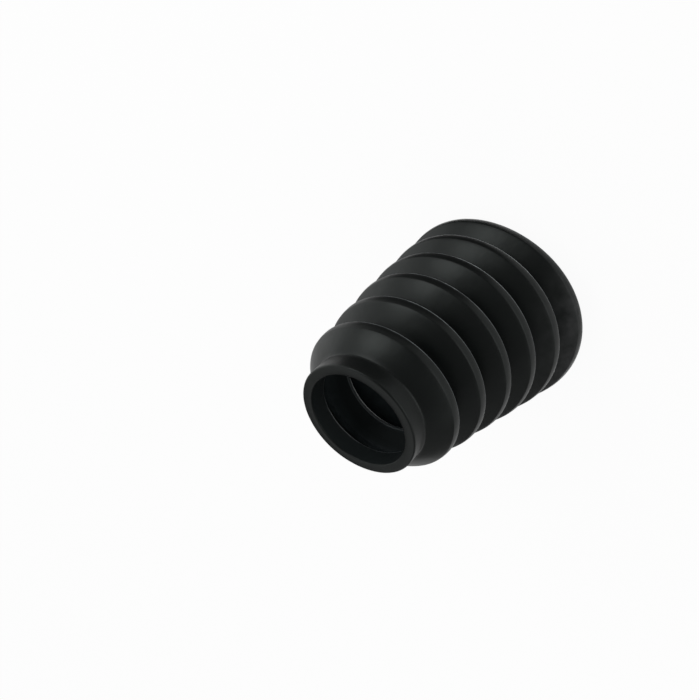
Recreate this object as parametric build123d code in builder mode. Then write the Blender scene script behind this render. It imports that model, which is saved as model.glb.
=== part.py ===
"""Rubber bellows boot: a conical bellows between two plain collars, moulded as one piece.

The boot stands on its large end. Z is its axis, the origin is the middle of the large end
face, and +Z points to the small end. All sizes are in millimetres.
"""
import os

from build123d import *

# ---- folds -----------------------------------------------------------------------------
crest_count = 6
crest_pitch = 17.5            # axial, from one crest to the next
large_crest_diameter = 99.8   # the crest next to the large collar
small_crest_diameter = 71.0   # the crest next to the small collar
fold_depth = 10.1             # radial, from the line over the crests down to a valley
fold_lag = 6.6                # axial, from a crest to the valley on its large-end side
crest_land = 3.7              # axial width of the band on top of each crest
crest_round = 0.8             # both edges of the land
valley_round = 1.3            # bottom of each valley outside

# ---- the same folds inside: a groove under each crest, a ridge under each valley --------
crest_wall = 3.4              # radial, so a flank is about 2 mm thick, square to itself
groove_depth = 11.5           # radial, from the line over the grooves down to a ridge
groove_lag = 7.6              # axial, from a groove to the ridge on its large-end side
groove_land = 2.7             # axial width of the groove's bottom
groove_round = 0.6
ridge_round = 1.2

# ---- small end -------------------------------------------------------------------------
small_end_standoff = 19.6     # end face, beyond the small crest
small_bore_diameter = 44.0
small_collar_wall = 4.5
small_seat_length = 8.2       # outside, where a clamp strap sits
small_bore_length = 9.0
small_ledge_width = 3.0       # step at the inner end of the bore
neck_round = 1.2              # between the seat and the first fold

# ---- large end -------------------------------------------------------------------------
large_end_standoff = 12.5     # end face, beyond the large crest
large_bore_diameter = 71.0
large_collar_wall = 4.0
large_seat_length = 6.5
large_bore_length = 8.0
large_neck_round = 1.5

# ---- edges -----------------------------------------------------------------------------
face_round = 0.8              # outside edge of each end face
mouth_round = 0.5             # bore edge of each end face
lip_round = 0.8               # inner end of each bore

# ---- worked out from the sizes above ---------------------------------------------------
height = large_end_standoff + (crest_count - 1) * crest_pitch + small_end_standoff
crest_taper = (large_crest_diameter - small_crest_diameter) / 2 / (crest_count - 1)

small_bore = small_bore_diameter / 2
small_seat = small_bore + small_collar_wall
small_face_edge = (small_seat, height)
small_neck = (small_seat, height - small_seat_length)
small_mouth = (small_bore, height)
small_lip = (small_bore, height - small_bore_length)
small_ledge = (small_bore + small_ledge_width, height - small_bore_length)

large_bore = large_bore_diameter / 2
large_seat = large_bore + large_collar_wall
large_face_edge = (large_seat, 0)
large_neck = (large_seat, large_seat_length)
large_mouth = (large_bore, 0)
large_lip = (large_bore, large_bore_length)


def fold_points(inset, land, depth, lag, last_foot):
    """Radius and height of the fold corners, from the small end down.

    A crest is the widest line of its fold, and inset moves it towards the axis. Its land runs
    from there towards the small end and follows the boot's taper. Each fold gives the top and
    the bottom of its land, and the foot of the flank below it. That foot lies lag below the
    crest and depth inside the line over the crests, or at last_foot below the large crest.
    """
    slope = crest_taper / crest_pitch
    folds = []
    for index in reversed(range(crest_count)):
        radius = large_crest_diameter / 2 - index * crest_taper - inset
        z = large_end_standoff + index * crest_pitch
        top = (radius - slope * land, z + land)
        foot = (radius + slope * lag - depth, z - lag)
        folds.append((top, (radius, z), foot if index else last_foot))
    return folds


def round_corners(points, radius):
    """Round the corners of the sketch in hand that lie at the given points."""
    at_points = section.vertices().filter_by(
        lambda vertex: any((Vector(vertex) - Vector(*point)).length < 1e-4 for point in points)
    )
    fillet(at_points, radius)


outside = fold_points(0, crest_land, fold_depth, fold_lag, large_neck)
inside = fold_points(crest_wall, groove_land, groove_depth, groove_lag, large_lip)

with BuildPart() as bellows_boot:
    with BuildSketch(Plane.XZ) as section:
        with BuildLine():
            Polyline(small_neck, *[corner for fold in outside for corner in fold])
            Polyline(large_neck, large_face_edge, large_mouth, large_lip)
            Polyline(small_ledge, *[corner for fold in inside for corner in fold])
            Polyline(small_ledge, small_lip, small_mouth, small_face_edge, small_neck)
        make_face()
        round_corners([corner for fold in outside for corner in fold[:2]], crest_round)
        round_corners([fold[2] for fold in outside[:-1]], valley_round)
        round_corners([corner for fold in inside for corner in fold[:2]], groove_round)
        round_corners([fold[2] for fold in inside[:-1]], ridge_round)
        round_corners([small_neck], neck_round)
        round_corners([large_neck], large_neck_round)
        round_corners([small_face_edge, large_face_edge], face_round)
        round_corners([small_mouth, large_mouth], mouth_round)
        round_corners([small_lip, large_lip], lip_round)
    revolve(axis=Axis.Z)

bellows_boot.part.label = "bellows_boot"

os.makedirs("parts", exist_ok=True)
export_step(bellows_boot.part, "parts/bellows_boot.step")
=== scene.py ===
# %% [markdown]
# # A rubber bellows boot
# A boot like this is slipped over a shaft and a housing, and its folds let the joint between
# them move while the dirt stays out. It is one rubber moulding: a thick collar at the small
# end, six folds that grow towards the large end, and a second collar there.
#
# The measured solid is loaded first. It fixes where everything stands, and nothing below
# moves it.

# %% Load the measured frame
from collections import namedtuple
from math import atan2, cos, pi, radians, sin, tan

import bpy
import numpy as np
from mathutils import Matrix, Vector


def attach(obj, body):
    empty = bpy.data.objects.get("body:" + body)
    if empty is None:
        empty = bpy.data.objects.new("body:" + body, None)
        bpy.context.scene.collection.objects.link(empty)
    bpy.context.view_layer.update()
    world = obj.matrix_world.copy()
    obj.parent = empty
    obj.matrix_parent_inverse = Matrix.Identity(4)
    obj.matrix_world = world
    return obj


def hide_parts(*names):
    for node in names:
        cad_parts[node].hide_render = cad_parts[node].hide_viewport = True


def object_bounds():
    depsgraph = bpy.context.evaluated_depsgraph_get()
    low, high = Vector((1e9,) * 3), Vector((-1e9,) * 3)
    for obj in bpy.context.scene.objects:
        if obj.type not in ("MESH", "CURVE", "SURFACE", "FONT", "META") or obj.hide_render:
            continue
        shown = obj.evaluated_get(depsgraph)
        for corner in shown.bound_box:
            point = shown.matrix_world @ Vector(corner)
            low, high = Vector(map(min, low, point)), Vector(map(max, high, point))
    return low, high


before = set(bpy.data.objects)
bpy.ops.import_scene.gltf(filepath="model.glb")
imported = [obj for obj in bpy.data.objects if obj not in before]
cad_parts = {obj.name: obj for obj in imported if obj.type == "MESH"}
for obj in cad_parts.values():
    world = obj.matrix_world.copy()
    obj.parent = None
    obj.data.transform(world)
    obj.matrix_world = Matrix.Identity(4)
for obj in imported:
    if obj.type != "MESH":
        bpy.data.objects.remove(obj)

cad_low, cad_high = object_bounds()
height = cad_high.z
print("the solid is", [round(side * 1000, 1) for side in cad_high - cad_low], "mm")

# %% [markdown]
# ## Sizes of the moulding
# The solid has the true form, but its curves reach us as short flats, which show as soon as
# light slides over satin rubber. So the boot is turned again from the same sizes, with far
# more steps. A turned form needs only its section: half of it, as distances from the axis.
#
# A maker measures the folds where a caliper reaches, on top of the crests and down in the
# valleys. The folds lean: each valley lies well below its crest, towards the large end.

# %% Sizes of the folds, in metres
mm = 0.001
crest_count = 6
crest_pitch = 17.5 * mm
large_crest = 49.9 * mm        # a radius, as all that follow
small_crest = 35.5 * mm
fold_depth = 10.1 * mm         # from the line over the crests down to a valley
fold_lag = 6.6 * mm            # from a crest to the valley on its large-end side
crest_land = 3.7 * mm          # the band round each crest, which follows the taper
land_crown = 0.14 * mm         # how far the band stands proud of straight in its middle
flank_crown = 0.3 * mm         # the same for the flanks that face the small end

crest_wall = 3.4 * mm
groove_depth = 11.5 * mm       # the same folds inside: a groove under each crest
groove_lag = 7.6 * mm          # and a ridge under each valley
groove_land = 2.7 * mm
print("crests from", round(small_crest / mm, 1), "to", round(large_crest / mm, 1), "mm")

# %% Sizes of the two collars
small_bore = 22.0 * mm
small_seat = 26.5 * mm         # where the strap goes round
small_seat_length = 8.2 * mm
small_bore_length = 9.0 * mm
small_ledge = 3.0 * mm

large_standoff = 12.5 * mm     # from the large end face to the large crest
large_bore = 35.5 * mm
large_seat = 39.5 * mm
large_seat_length = 6.5 * mm
large_bore_length = 8.0 * mm

taper = (large_crest - small_crest) / (crest_count - 1)
small_crest_height = large_standoff + (crest_count - 1) * crest_pitch
print("the small crest is", round(small_crest_height / mm, 1), "mm up, of", round(height / mm, 1))

# %% [markdown]
# ## The section
# The outline is a list of corners, and each one says how round it is. A curve object with
# handles could draw it too, but a list of named corners stays readable, and it can be
# checked against the drawing one line at a time.
#
# Some corners carry a painted highlight: a pale colour along their rounding stands in for
# the glint of light there. These are the lower edges of the crests, the ridges inside and
# the lip of the small bore. They are marked here, where they are made.

# %% Corners of the folds
edge_round = 0.8 * mm
valley_round = 1.3 * mm
groove_round = 0.6 * mm
ridge_round = 1.2 * mm

# The last field marks a corner whose rounding gets a painted highlight.
Corner = namedtuple("Corner", "r z rounding crown rubbed", defaults=(0.0, False))


def fold(index, inset, land, depth, lag):
    """Top and bottom of a crest's land and the valley below, moved in towards the axis."""
    slope = taper / crest_pitch
    r = large_crest - index * taper - inset
    z = large_standoff + index * crest_pitch
    return (r - slope * land, z + land), (r, z), (r + slope * lag - depth, z - lag)


outside = []
for index in reversed(range(crest_count)):
    top, bottom, valley = fold(index, 0.0, crest_land, fold_depth, fold_lag)
    outside.append(Corner(*top, edge_round, flank_crown))
    # the lower edge of each crest gets a painted highlight
    outside.append(Corner(*bottom, edge_round, land_crown, rubbed=True))
    if index:
        outside.append(Corner(*valley, valley_round))

inside = []
for index in range(crest_count):
    top, bottom, ridge = fold(index, crest_wall, groove_land, groove_depth, groove_lag)
    if index:
        # each ridge inside gets a painted highlight
        inside.append(Corner(*ridge, ridge_round, rubbed=True))
    inside.append(Corner(*bottom, groove_round))
    inside.append(Corner(*top, groove_round))
print(len(outside), "corners outside and", len(inside), "inside")

# %% The whole outline, from the small end face down the outside and up the inside
neck_round = 1.2 * mm
large_neck_round = 1.5 * mm
mouth_round = 0.5 * mm
ledge_round = 0.3 * mm

outline = [
    Corner(small_seat, height, edge_round),
    Corner(small_seat, height - small_seat_length, neck_round),
    *outside,
    Corner(large_seat, large_seat_length, large_neck_round),
    Corner(large_seat, 0.0, edge_round),
    Corner(large_bore, 0.0, mouth_round),
    Corner(large_bore, large_bore_length, edge_round),
    *inside,
    Corner(small_bore + small_ledge, height - small_bore_length, ledge_round),
    # the lip of the small bore gets a painted highlight
    Corner(small_bore, height - small_bore_length, edge_round, rubbed=True),
    Corner(small_bore, height, mouth_round),
]
print(len(outline), "corners,", sum(corner.rubbed for corner in outline), "of them rubbed")

# %% [markdown]
# ## From corners to points
# A corner knows the line that arrives at it, and how far that line stands proud of straight.
# The turn at a corner is measured close to it, because a crowned line arrives at a slightly
# different angle. From the turn follows how much of each line the rounding takes up.

# %% Lines and bends
close_by = 0.02                # the share of a line that tells how it meets its corner


def on_line(start, end, crown, share):
    """A point of the line from start to end, which bows out by crown in its middle."""
    along = end - start
    square = np.array([-along[1], along[0]]) / np.linalg.norm(along)
    return start + along * share + square * 4 * crown * share * (1 - share)


Bend = namedtuple("Bend", "turn back onward")


def bend_at(corner, before, here, after, onward_crown):
    """The turn at a corner, and the shares of its two lines that the rounding takes up."""
    arriving = here - on_line(before, here, corner.crown, 1 - close_by)
    leaving = on_line(here, after, onward_crown, close_by) - here
    across = arriving[0] * leaving[1] - arriving[1] * leaving[0]
    turn = atan2(across, float(arriving @ leaving))
    reach = corner.rounding * abs(tan(turn / 2))
    back = reach / np.linalg.norm(here - before)
    onward = reach / np.linalg.norm(after - here)
    return Bend(turn, back, onward)


print("a bend is measured over", close_by, "of each line")

# %% [markdown]
# A rounded corner could be cut into chords with sines and cosines. Here it is a rational
# curve: with the cosine of half the turn as the weight of its middle point, it is an exact
# piece of a circle. The points lie closer together on the roundings, where the light bends
# most. Each point also remembers its corner, so that the finish can follow the edges.

# %% Points round the section
line_step = 1.4 * mm
corner_step = 0.5 * mm
on_a_line = -1                 # the owner of a point that is on no rounding


def rounding(first, here, last, turn, steps):
    """Points of the arc from first to last that rounds the corner here."""
    weight = cos(turn / 2)
    arc = []
    for step in range(steps + 1):
        t = step / steps
        shares = np.array([(1 - t) ** 2, 2 * weight * t * (1 - t), t**2])
        arc.append(shares @ np.array([first, here, last]) / shares.sum())
    return arc


def section_points(corners):
    """Points round the closed outline, and for each the number of the corner that it rounds."""
    at = [np.array([corner.r, corner.z]) for corner in corners]
    before = at[-1:] + at[:-1]
    after = at[1:] + at[:1]
    onward_crowns = [corner.crown for corner in corners[1:] + corners[:1]]
    bends = list(map(bend_at, corners, before, at, after, onward_crowns))
    points, owners = [], []
    for i, (corner, bend, crown) in enumerate(zip(corners, bends, onward_crowns)):
        first = on_line(before[i], at[i], corner.crown, 1 - bend.back)
        last = on_line(at[i], after[i], crown, bend.onward)
        steps = max(2, round(abs(bend.turn) * corner.rounding / corner_step) + 1)
        arc = rounding(first, at[i], last, bend.turn, steps)
        free = 1 - bends[(i + 1) % len(bends)].back - bend.onward
        steps = max(1, round(np.linalg.norm(after[i] - at[i]) * free / line_step))
        places = [bend.onward + free * step / steps for step in range(1, steps)]
        line = [on_line(at[i], after[i], crown, place) for place in places]
        points += arc + line
        owners += [i] * len(arc) + [on_a_line] * len(line)
    return np.array(points), np.array(owners)


section, owners = section_points(outline)
print(len(section), "points round the section,", np.sum(owners == on_a_line), "of them on lines")

# %% [markdown]
# ## The set of soft rubber
# Rubber this soft is never quite round. It lies in a box with others and takes a set: the
# axis bows, the small end leans and is a little oval, and each fold wanders by a tenth of a
# millimetre. Modifiers could bend the mesh afterwards. Here each turned point is moved as
# it is made, because then every amount is a named value that can be judged in millimetres.

# %% The amounts of the set
bow = 2.45 * mm                # of the axis, sideways, between its two ends
bow_skew = 0.15                # its deepest place lies nearer the small end
bow_middle = 1.15 * mm         # so that the bowed boot stays over the middle of its base
bow_heading = radians(180.0)
small_end_tilt = 0.082         # radians, at the end face, away from the bow
oval_share = 0.028             # at the small end: longer one way, shorter the other
oval_heading = radians(45.0)
sag = 0.5 * mm                 # the largest crest is a little small, and drawn to three
lobing = 0.9 * mm              # gentle corners, which the next crest still follows
lobing_reach = 18.0 * mm
dent = 0.8 * mm                # the smallest crest is pressed in on one side
dent_heading = radians(162.0)
dent_width = radians(26.0)
dent_reach = 9.0 * mm
wander = 0.10 * mm
waves = [(2, 0.4, 1.0), (3, 2.1, 0.7), (5, 4.0, 0.4)]   # lobes, phase, share of the wander
wave_drift = 0.9               # how far each wave winds on from one fold to the next
print("the axis bows by", round(bow / mm, 2), "mm")


# %% Where a turned point ends up
def soft_radius(r, z, heading):
    """The radius of a point of the turning, after the oval, the lobes and the dent."""
    rise = z / height
    drift = sum(
        share * np.cos(lobes * heading + phase + lobes * wave_drift * z / crest_pitch)
        for lobes, phase, share in waves
    )
    r = r * (1 + oval_share * rise * np.cos(2 * (heading - oval_heading))) + wander * drift * rise
    near_large_crest = np.exp(-(((z - large_standoff) / lobing_reach) ** 2))
    r = r + near_large_crest * (lobing * np.cos(3 * heading) - sag)
    from_dent = ((heading - dent_heading + pi) % (2 * pi) - pi) / dent_width
    above_dent = (z - small_crest_height) / dent_reach
    return r - dent * np.exp(-(from_dent**2) - above_dent**2)


def soft_form(r, z, heading):
    """Where a point of the turning ends up, as arrays of x, y and z."""
    rise = z / height
    r = soft_radius(r, z, heading)
    slide = bow_middle - 4 * bow * rise * (1 - rise) * (1 + bow_skew * (rise - 0.5))
    x = r * np.cos(heading) + slide * cos(bow_heading)
    y = r * np.sin(heading) + slide * sin(bow_heading)
    along_bow = r * np.cos(heading - bow_heading)
    return x, y, z - small_end_tilt * rise**2 * along_bow


face_centre = soft_form(0.0, height, 0.0)
print("the middle of the small end face is at", [round(place / mm, 1) for place in face_centre], "mm")

# %% [markdown]
# ## Turning the section
# The section goes round the axis in even steps, and each step leaves one column of points.
# Blender's Screw modifier or a spin would do the same for a stiff part. Laying the grid of
# quads directly keeps the soft form exact, and the ring closes on itself without a seam.

# %% Turn it
turning_steps = 256


def turned(name, points, steps):
    """A closed ring of quads, with one column of points for each step round the axis."""
    heading = np.arange(steps)[:, None] * 2 * pi / steps
    places = np.stack(soft_form(points[None, :, 0], points[None, :, 1], heading), axis=-1)
    here = np.arange(steps * len(points)).reshape(steps, len(points))
    up_the_column = np.roll(here, -1, axis=1)
    next_column = np.roll(here, -1, axis=0)
    opposite = np.roll(up_the_column, -1, axis=0)
    quads = np.stack([here, up_the_column, opposite, next_column], axis=-1)
    mesh = bpy.data.meshes.new(name)
    mesh.from_pydata(places.reshape(-1, 3).tolist(), [], quads.reshape(-1, 4).tolist())
    mesh.validate()
    mesh.shade_smooth()
    piece = bpy.data.objects.new(name, mesh)
    bpy.context.collection.objects.link(piece)
    return piece


boot = turned("boot_moulding", section, turning_steps)
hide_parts("bellows_boot")
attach(boot, "root")
print(len(boot.data.polygons), "quads")

# %% [markdown]
# ## Which finish goes where
# The moulding is one piece with three finishes. Its skin outside is satin. The inside is
# duller, because the core that shapes it is coarser, and it is painted paler in its shaded
# hollows. Along some edges a pale colour is painted in as a highlight. Separate meshes would
# leave a seam, so each quad of the one mesh carries the number of its finish, in the order in
# which the materials are added further down.

# %% Number the quads
# the third finish paints a pale highlight along some edges
satin_outside, dull_inside, painted_glint_edge = range(3)
mouth_depth = 1 * mm           # the satin skin goes round the small mouth by this much

from_large_lip = np.hypot(section[:, 0] - large_bore, section[:, 1] - large_bore_length)
from_small_mouth = np.hypot(section[:, 0] - small_bore, section[:, 1] - height + mouth_depth)
row = np.arange(len(section))
is_inside = (row >= from_large_lip.argmin()) & (row < from_small_mouth.argmin())

# the rows round these corners get the pale painted highlight
is_painted_glint_corner = np.array([corner.rubbed for corner in outline] + [False])
stays_on_corner = owners == np.roll(owners, -1)
is_painted_glint = is_painted_glint_corner[owners] & stays_on_corner      # on_a_line picks the last: False

finish = np.where(is_painted_glint, painted_glint_edge, np.where(is_inside, dull_inside, satin_outside))
every_quad = np.tile(finish, turning_steps).astype(np.int32)
boot.data.polygons.foreach_set("material_index", every_quad)
print("rows of quads: satin, dull, rubbed:", np.bincount(finish))

# %% [markdown]
# ## A hand for shader maths
# Materials are graphs of small nodes. Written out they hide the idea, so one class wraps a
# socket and lets values be added and multiplied like numbers, and one method makes any
# other node from its type, its settings and its inputs.

# %% Sockets that do arithmetic
class Value:
    """An output socket of a node tree that can be used in sums, or a tree to start from."""

    def __init__(self, tree, socket=None):
        self.tree, self.socket = tree, socket

    def node(self, kind, settings=None, inputs=None, output=0):
        """Any node: settings first, then numbers or links into its sockets, by name or place."""
        node = self.tree.nodes.new(kind)
        for name, setting in (settings or {}).items():
            if name == "stops":
                set_stops(node.color_ramp.elements, setting)
            else:
                setattr(node, name, setting)
        for name, given in (inputs or {}).items():
            if isinstance(given, Value):
                self.tree.links.new(given.socket, node.inputs[name])
            else:
                node.inputs[name].default_value = given
        return Value(self.tree, node.outputs[output] if node.outputs else None)

    def maths(self, operation, first, second):
        return self.node("ShaderNodeMath", {"operation": operation}, {0: first, 1: second})

    def __add__(self, other):
        return self.maths("ADD", self, other)

    def __radd__(self, other):
        return self.maths("ADD", other, self)

    def __sub__(self, other):
        return self.maths("SUBTRACT", self, other)

    def __rsub__(self, other):
        return self.maths("SUBTRACT", other, self)

    def __mul__(self, other):
        return self.maths("MULTIPLY", self, other)

    def __rmul__(self, other):
        return self.maths("MULTIPLY", other, self)


def set_stops(ramp, stops):
    """Gives a ramp its stops, each a place and a share of white. A new ramp has two already."""
    for place, _ in stops[len(ramp):]:
        ramp.new(place)
    for element, (place, share) in zip(ramp, stops):
        element.position = place
        element.color = (share, share, share, 1)


def new_material(name):
    """An empty material, and its tree as the value to start from."""
    material = bpy.data.materials.new(name)
    material.use_nodes = True
    material.node_tree.nodes.clear()
    return material, Value(material.node_tree)


print("values can be added, subtracted and multiplied, from either side")

# %% [markdown]
# ## The black of the rubber
# Carbon black colours the rubber through and through, but no moulding is evenly black: it
# drifts between black and a dark grey in patches. Object coordinates carry the patches, so
# that they stay on the rubber wherever it is looked at from.

# %% Speckles, and a colour between two
patch_scale = 60.0             # per metre, so a patch is about 17 mm across
cloud_scale = 160.0
peel_scale = 420.0             # the slight orange peel of a moulded skin
grain_scale = 2600.0
lighter_black = 1.6            # the lightest patches, as a multiple of the darkest


def speckle(place, scale, detail):
    """Soft noise, which detail makes rougher at its edges."""
    return place.node("ShaderNodeTexNoise", {}, {"Vector": place, "Scale": scale, "Detail": detail})


def colour_between(share, first, second):
    """A mix of two colours. The Mix node has its colours at places 6 and 7, and 2 comes out."""
    settings = {"data_type": "RGBA", "clamp_factor": True}
    return share.node("ShaderNodeMix", settings, {0: share, 6: first, 7: second}, output=2)


def patchy_black(patches, darkest):
    lightest = [lighter_black * share for share in darkest]
    return colour_between(patches, (*darkest, 1), (*lightest, 1))


print("grain of about", round(1000 / grain_scale, 1), "mm")

# %% [markdown]
# ## A film of dust and painted light
# Rubber holds dust, and the outside has more of it low down on one side, where the same
# paler film also paints in a reflection. The film is a share between 0 and 1 that mixes a
# paler colour over the black: clouds make it uneven, a ramp sets it by height, and the
# distance towards one side limits it. Inside, the film is painted light that lightens the
# shaded hollows, and along some edges it is a painted highlight. It could be painted on by
# hand, but as maths it goes round the back and inside as well.

# %% The film
usual_cover = 0.35             # of the full film, between the clouds
side_begins = 26 * mm          # from the axis towards the side that the film covers
side_is_full = 47 * mm


def on_side(place, heading):
    """Rises from 0 to 1 with the distance from the axis towards one side."""
    side = (cos(heading), sin(heading), 0.0)
    towards = place.node(
        "ShaderNodeVectorMath", {"operation": "DOT_PRODUCT"}, {0: place, 1: side}, output="Value"
    )
    steps = {0: towards, 1: side_begins, 2: side_is_full, 3: 0.0, 4: 1.0}
    return place.node("ShaderNodeMapRange", {"interpolation_type": "SMOOTHSTEP"}, steps)


def dust_and_painted_light(place, cloudiness, cover_by_height, side):
    """The share of dust and painted light: the ramp runs over the boot's height, side is where it
    lies.
    """
    clouds = speckle(place, cloud_scale, detail=4.0)
    z = place.node("ShaderNodeSeparateXYZ", {}, {0: place}, output="Z")
    by_height = place.node("ShaderNodeValToRGB", {"stops": cover_by_height}, {0: z * (1 / height)})
    all_round = (usual_cover + (clouds - 0.5) * cloudiness) * by_height
    if side is None:
        return all_round
    return all_round * on_side(place, side)


print("dust begins", round(side_begins / mm), "mm out")

# %% [markdown]
# ## Relief that only light shows
# Below the size of a fold the rubber still isn't flat. Slow waves of less than a millimetre
# break up long highlights, and a fine peel and grain give the satin. Modelling them would
# take millions of faces, so two Bump nodes tilt the shading instead, one upon the other.

# %% Two bumps
wave_height = 0.8 * mm
peel_height = 0.03 * mm
bump_strength = 0.5


def bumped(relief, depth, under=None):
    """The shading normal of a relief, over that of a coarser one if there is one."""
    inputs = {"Height": relief, "Distance": depth, "Strength": bump_strength}
    if under:
        inputs["Normal"] = under
    return relief.node("ShaderNodeBump", {}, inputs)


print("waves of", round(wave_height / mm, 2), "mm under a peel of", round(peel_height / mm, 2), "mm")

# %% [markdown]
# ## The rubber itself
# One function makes all three finishes: the same rubber outside, inside, and along the edges
# that carry a painted highlight. The sheen is low: carbon-filled rubber reflects less than
# most plastics, and very slightly green. Patches, grain and the film of dust and painted
# light each roughen it a little more.

# %% One rubber, three finishes
cool_sheen = (0.93, 1.0, 0.975, 1)
smoothest = -0.05              # what is added to the roughness where nothing roughens it
by_patches = 0.08
by_grain = 0.03
by_film = 0.10
peel_share = 0.6               # of the fine relief, and the rest is grain


def rubber(name, roughness, sheen, darkest, dust_and_light_colour, cloudiness, cover_by_height, side=None):
    """Black rubber, from its darkest black to a lighter one, under a film of dust and painted light.
    """
    material, start = new_material(name)
    place = start.node("ShaderNodeTexCoord", output="Object")
    patches = speckle(place, patch_scale, detail=3.0)
    grain = speckle(place, grain_scale, detail=2.0)
    peel = speckle(place, peel_scale, detail=2.0)
    film = dust_and_painted_light(place, cloudiness, cover_by_height, side)
    waves_below = bumped(patches, wave_height)
    fine_relief = peel * peel_share + grain * (1 - peel_share)
    roughening = smoothest + patches * by_patches + grain * by_grain + film * by_film
    surface = {
        # the film's colour: dust and a painted reflection outside, painted light inside, a painted
        # highlight on the edges
        "Base Color": colour_between(film, patchy_black(patches, darkest), (*dust_and_light_colour, 1)),
        "Roughness": roughness + roughening,
        "Normal": bumped(fine_relief, peel_height, waves_below),
        "Specular IOR Level": sheen,
        "Specular Tint": cool_sheen,
    }
    shader = start.node("ShaderNodeBsdfPrincipled", {}, surface)
    start.node("ShaderNodeOutputMaterial", {}, {"Surface": shader})
    boot.data.materials.append(material)
    print(name, "is finish", len(boot.data.materials) - 1)


print("the sheen is tinted", cool_sheen[:3])

# %% [markdown]
# The outside is dusty low down on one side, and nearly clean above; there the paler film
# also paints in a reflection. The inside is dull and a little bluish, and its film is painted
# light: it lightens the deep hollows and the shade under the ledge, and leaves out the small
# bore and the lit flank above the first ridge. The pale edges are a painted highlight, palest
# on one side. A painted mask could hold all this, but the stops of a ramp are easier to move
# while looking.

# %% The three finishes, in the order of their numbers
# dust, and a painted reflection, low down on one side
rubber(
    "moulded_rubber",
    roughness=0.38,
    sheen=0.25,
    darkest=(0.0010, 0.0016, 0.0015),
    dust_and_light_colour=(0.062, 0.060, 0.063),
    cloudiness=1.4,
    cover_by_height=[(0.08, 0.75), (0.37, 0.07)],
    side=radians(222.0),
)
# the film here is painted light in the shaded hollows and under the ledge
rubber(
    "rubber_inside",
    roughness=0.60,
    sheen=0.12,
    darkest=(0.0064, 0.0084, 0.0088),
    dust_and_light_colour=(0.105, 0.132, 0.142),
    cloudiness=0.5,
    cover_by_height=[
        (0.70, 1.0), (0.76, 0.7), (0.78, 0.0), (0.81, 0.05), (0.85, 0.8), (0.91, 0.8), (0.92, 0.0),
    ],
)
# a pale painted highlight along the edges, palest on one side
rubber(
    "painted_glint_edges",
    roughness=0.34,
    sheen=0.28,
    darkest=(0.036, 0.041, 0.043),
    dust_and_light_colour=(0.55, 0.60, 0.61),
    cloudiness=1.4,
    cover_by_height=[(0.0, 1.0), (1.0, 1.0)],
    side=radians(305.0),
)

# %% [markdown]
# ## Floor
# The floor is plain white paper. A sheet lit by the lamps alone turns grey towards its far
# side, so it glows white for the camera, and the small share that is left of real paper
# still takes the boot's soft shadow. In reflections it is half as bright, because black
# rubber on a shining floor would lose its dark lower folds.

# %% The floor
floor_size = 6.0
paper_white = (0.86, 0.86, 0.86, 1)
plain_white = (1, 1, 1, 1)
white_to_camera = 0.94
white_in_reflections = 0.45


def rays_seen(start):
    """Three values, each 1 for one kind of ray: from the camera, reflected, passed through."""
    kinds = ("Is Camera Ray", "Is Glossy Ray", "Is Transmission Ray")
    return [start.node("ShaderNodeLightPath", output=kind) for kind in kinds]


def paper():
    material, start = new_material("white_paper")
    camera, glossy, through = rays_seen(start)
    white_share = (camera + through) * white_to_camera + glossy * white_in_reflections
    plain = start.node("ShaderNodeBsdfDiffuse", {}, {"Color": paper_white})
    white = start.node("ShaderNodeEmission", {}, {"Color": plain_white, "Strength": 1.0})
    mixed = start.node("ShaderNodeMixShader", {}, {0: white_share, 1: plain, 2: white})
    start.node("ShaderNodeOutputMaterial", {}, {"Surface": mixed})
    return material


half = floor_size / 2
floor_corners = [(-half, -half, 0), (half, -half, 0), (half, half, 0), (-half, half, 0)]
floor_mesh = bpy.data.meshes.new("floor")
floor_mesh.from_pydata(floor_corners, [], [(0, 1, 2, 3)])
floor = bpy.data.objects.new("floor", floor_mesh)
bpy.context.collection.objects.link(floor)
floor.data.materials.append(paper())
print("a floor of", floor_size, "m")

# %% [markdown]
# ## Surroundings
# The studio is a white tent: soft light from all round. A ring of area lamps could give it,
# but the world does it with no noise. What lights the rubber is a little dimmer than what
# the camera sees behind it, where the tent has the tone of the floor, so that no horizon
# shows in a low view.

# %% The surroundings
tent_light = 0.75
backdrop = 0.98

world = bpy.data.worlds.new("studio")
world.use_nodes = True
world.node_tree.nodes.clear()
start = Value(world.node_tree)
camera_ray, glossy_ray, through_ray = rays_seen(start)
strength = tent_light + (camera_ray + glossy_ray + through_ray) * (backdrop - tent_light)
sky = start.node("ShaderNodeBackground", {}, {"Color": plain_white, "Strength": strength})
start.node("ShaderNodeOutputWorld", {}, {"Surface": sky})
bpy.context.scene.world = world
print("tent light", tent_light, "and backdrop", backdrop)

# %% [markdown]
# ## Camera
# The camera looks down on the small end at 41 degrees, rolled so that the small end points
# down to the left. An operator frames a boot by one of its rings. So the camera is placed
# from the middle of the small crest: that far to the right of the lens, that far below it
# and that far ahead. A camera could also be aimed with a Track To constraint, but then its
# roll would be a separate setting that is easily lost.

# %% The camera
view_elevation = radians(41.1)
view_roll = radians(125.1)
crest_right = 13.9 * mm
crest_down = 19.2 * mm
crest_ahead = 294.7 * mm

forward = Vector((0, cos(view_elevation), -sin(view_elevation)))
level = Vector((1, 0, 0))
above = level.cross(forward)
right = cos(view_roll) * level - sin(view_roll) * above
up = sin(view_roll) * level + cos(view_roll) * above
crest_middle = Vector((0, 0, small_crest_height))
eye = crest_middle - right * crest_right + up * crest_down - forward * crest_ahead

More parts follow.
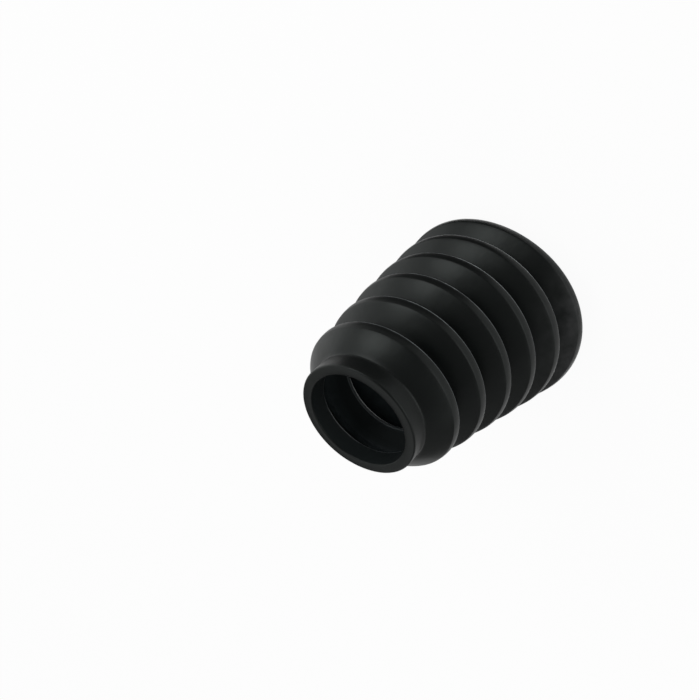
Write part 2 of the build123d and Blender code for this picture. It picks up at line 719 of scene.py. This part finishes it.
camera_data = bpy.data.cameras.new("camera")
camera_data.lens = 36.0        # as long as the frame is wide: a view of 53 degrees
camera_data.sensor_width = 36.0
camera = bpy.data.objects.new("camera", camera_data)
axes = Matrix((right, up, -forward)).transposed()
camera.matrix_world = Matrix.Translation(eye) @ axes.to_4x4()
bpy.context.collection.objects.link(camera)
bpy.context.scene.camera = camera
print("camera at", [round(place, 3) for place in eye])

# %% [markdown]
# ## Lamp
# One softbox from the upper left models the folds. A sun lamp would be simpler, but its hard
# edge would cut the satin into light and dark. The softbox's place is given as the camera's
# operator would point it out: so much to the right, up, and towards the camera.

# %% The lamp
softbox_distance = 0.8
boot_middle = Vector((0, 0, height / 2))


def seen_from_camera(to_right, upwards, to_camera):
    return (right * to_right + up * upwards - forward * to_camera).normalized()


def facing_boot(piece, towards, distance):
    """Stands a lamp or card off the boot in a direction and turns it to face the boot."""
    piece.location = boot_middle + towards * distance
    piece.rotation_mode = "QUATERNION"
    piece.rotation_quaternion = towards.to_track_quat("Z", "Y")
    bpy.context.collection.objects.link(piece)


lamp = bpy.data.lights.new("key_softbox", "AREA")
lamp.shape = "DISK"
lamp.size = 0.30
lamp.energy = 0.95
softbox = bpy.data.objects.new("key_softbox", lamp)
softbox.visible_camera = False
facing_boot(softbox, seen_from_camera(-0.70, 0.43, 0.57), softbox_distance)
print("one softbox of", lamp.energy, "W")

# %% [markdown]
# ## Cards
# Satin black rubber has almost no colour of its own: what we see on it is the room. So the
# dark and light bands on the folds are set with round cards, as on a product table. A black
# card darkens a flank, and a pale one draws a soft line along a crest. Lamps could draw the
# pale lines too, but they would also wash out the black. Only reflections see the cards.

# %% A round card
card_sides = 64


def disc(name, radius, tone):
    """A flat round card of one even tone, which only reflections see."""
    turns = np.arange(card_sides) * 2 * pi / card_sides
    rim = [(radius * cos(turn), radius * sin(turn), 0.0) for turn in turns]
    mesh = bpy.data.meshes.new(name)
    mesh.from_pydata(rim, [], [tuple(range(card_sides))])
    material, start = new_material(name)
    glow = start.node("ShaderNodeEmission", {}, {"Color": plain_white, "Strength": tone})
    start.node("ShaderNodeOutputMaterial", {}, {"Surface": glow})
    mesh.materials.append(material)
    piece = bpy.data.objects.new(name, mesh)
    piece.visible_camera = False
    piece.visible_diffuse = False
    piece.visible_shadow = False
    return piece


print("cards of", card_sides, "sides")

# %% The cards round the boot
nearest_card = 0.85            # from the middle of the boot
card_gap = 0.02                # each stands behind the one before it where two overlap

cards = [                      # right, up and towards the camera; degrees to the rim; tone
    ("pale_card_left", (-0.85, 0.45, -0.30), 22, 1.7),            # lights the flanks' left ends
    ("dark_flag_behind_camera", (-0.20, -0.40, 0.90), 39, 0.25),  # keeps the flanks near us black
    ("grey_card_below", (0.05, -1.00, 0.20), 25, 0.45),           # quiets the lower folds
    ("black_flag_above", (-0.30, 0.95, 0.05), 39, 0.0),           # keeps the far side from shining
    ("pale_card_right", (0.75, 0.00, 0.65), 29, 2.2),             # draws the lands as light bands
    ("black_flag_low_left", (-0.60, -0.58, -0.56), 23, 0.1),      # darkens the end face's left rim
    ("black_flag_low_right", (0.60, -0.70, -0.35), 42, 0.0),      # darkens the collar's right side
    ("dark_flag_left_of_camera", (-0.60, 0.05, 0.80), 15, 0.1),   # ends the highlights on the right
    ("grey_card_above_left", (-0.65, 0.75, 0.20), 22, 0.60),      # softens the black flag's edge
    ("black_flag_over_camera", (0.10, 0.60, 0.80), 25, 0.0),      # deepens the flanks' middle
    ("grey_card_above_right", (0.65, 0.60, 0.50), 24, 0.70),      # a little light from near the floor
    ("pale_card_over_large_end", (-0.50, 0.55, 0.67), 10, 2.5),   # the highlights on the upper flanks
]
for index, (name, towards, spread, tone) in enumerate(cards):
    distance = nearest_card + card_gap * index
    piece = disc(name, distance * tan(radians(spread)), tone)
    facing_boot(piece, seen_from_camera(*towards), distance)
print(len(cards), "cards round the boot")

# %% [markdown]
# Two more lie on the floor. Dark paper beside the boot darkens what the lower crests
# reflect, and a white disc under it lights the lower folds from below.

# %% Paper on the floor
dark_paper = disc("dark_paper_on_floor", radius=0.15, tone=0.12)
dark_paper.location = (0.19, -0.08, 0.001)
white_disc = disc("white_disc_under_boot", radius=0.056, tone=2.0)
white_disc.location = (0, 0, 0.0015)
for piece in (dark_paper, white_disc):
    bpy.context.collection.objects.link(piece)
print("dark paper and a white disc on the floor")

# %% [markdown]
# ## Colours, sizes and the end
# The plain Standard view shows each colour as it was written.

# %% The end
bpy.context.scene.view_settings.view_transform = "Standard"
